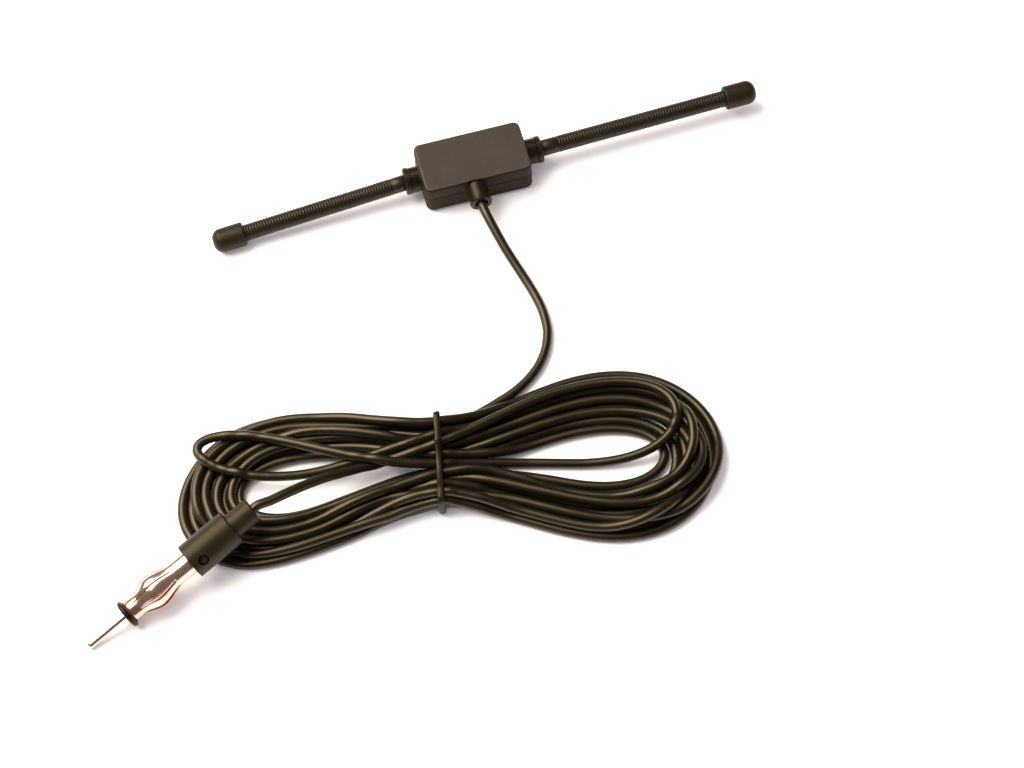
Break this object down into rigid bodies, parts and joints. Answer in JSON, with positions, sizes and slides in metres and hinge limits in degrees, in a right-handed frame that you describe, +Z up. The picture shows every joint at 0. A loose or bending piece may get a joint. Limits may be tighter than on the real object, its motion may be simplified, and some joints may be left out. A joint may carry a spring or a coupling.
{
  "type": "car radio antenna",
  "caption": "Windscreen radio antenna: a small housing with two ribbed flexible arms, a tied hank of coaxial cable and an aerial plug.",
  "frame": {"origin": "middle of the housing's flat underside", "axes": "+X along the arms towards the longer one, +Y towards the housing's back, away from the cable, +Z up from the underside"},
  "size_m": [0.3191, 0.194, 0.0241],
  "materials": {
    "cover_plastic": "fine matt",
    "board": "satin",
    "ferrite": "matt",
    "brass": "satin",
    "steel": "brushed",
    "collar_plastic": "satin",
    "arm_rubber": "satin",
    "cap_rubber": "matt",
    "cable_jacket": "satin",
    "tie_plastic": "satin",
    "plug_plastic": "satin",
    "washer_plastic": "satin",
    "nickel": "polished"
  },
  "bodies": {
    "root": {"upper_cover": "cover_plastic", "lower_cover": "cover_plastic", "circuit_board": "board", "matching_core": "ferrite", "left_contact": "brass", "right_contact": "brass", "cable_clamp": "steel", "left_collar": "collar_plastic", "right_collar": "collar_plastic", "left_arm": "arm_rubber", "right_arm": "arm_rubber", "left_core": "steel", "right_core": "steel", "left_cap": "cap_rubber", "right_cap": "cap_rubber", "cable_gland": "collar_plastic", "cable_lead": "cable_jacket", "cable_hank": "cable_jacket", "hank_tie": "tie_plastic", "cable_tail": "cable_jacket", "plug_carrier": "plug_plastic", "plug_sleeve": "plug_plastic", "plug_shell": "nickel", "plug_insulator": "washer_plastic", "plug_washer": "washer_plastic", "plug_pin": "nickel"}
  },
  "joints": []
}
